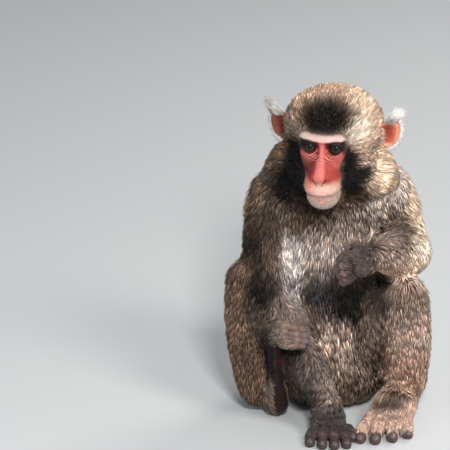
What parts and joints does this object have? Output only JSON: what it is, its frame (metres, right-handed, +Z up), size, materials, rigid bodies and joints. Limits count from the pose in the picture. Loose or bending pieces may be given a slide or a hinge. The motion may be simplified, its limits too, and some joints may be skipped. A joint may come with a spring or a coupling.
{
  "type": "macaque monkey figure",
  "caption": "Seated life-size macaque monkey: bare red face, thick grey-brown coat, hand on the ground, foot held against the forearm.",
  "frame": {"origin": "on the floor, under the middle of the seat", "axes": "+Z up, -Y the way the trunk faces, +X to the animal's left"},
  "size_m": [0.2545, 0.2865, 0.4095],
  "materials": {
    "mantle_coat": "long grizzled fur, grey-brown to cream",
    "body_coat": "long grizzled fur, dark brown with pale tips",
    "white_hair": "fine whitish hair",
    "face_skin": "bare red-pink skin, matt with a soft shine",
    "paw_skin": "dark skin under thin short hair",
    "nail": "grey horn, semi-gloss",
    "eye": "wet, glossy brown"
  },
  "bodies": {
    "root": {"chest": "mantle_coat", "ear_left": "face_skin", "ear_right": "face_skin", "ear_tuft_left": "white_hair", "ear_tuft_right": "white_hair", "eye_left": "eye", "eye_right": "eye", "face": "face_skin", "fingernail_left_fifth": "nail", "fingernail_left_first": "nail", "fingernail_left_fourth": "nail", "fingernail_left_second": "nail", "fingernail_left_third": "nail", "fingernail_right_fifth": "nail", "fingernail_right_first": "nail", "fingernail_right_fourth": "nail", "fingernail_right_second": "nail", "fingernail_right_third": "nail", "foot_left": "paw_skin", "foot_right": "paw_skin", "forearm_left": "body_coat", "forearm_right": "body_coat", "hand_left": "paw_skin", "hand_right": "paw_skin", "head": "mantle_coat", "hips": "body_coat", "neck": "mantle_coat", "shin_left": "body_coat", "shin_right": "body_coat", "tail": "body_coat", "thigh_left": "body_coat", "thigh_right": "body_coat", "toenail_left_fifth": "nail", "toenail_left_first": "nail", "toenail_left_fourth": "nail", "toenail_left_second": "nail", "toenail_left_third": "nail", "toenail_right_fifth": "nail", "toenail_right_first": "nail", "toenail_right_fourth": "nail", "toenail_right_second": "nail", "toenail_right_third": "nail", "upper_arm_left": "mantle_coat", "upper_arm_right": "mantle_coat"}
  },
  "joints": []
}
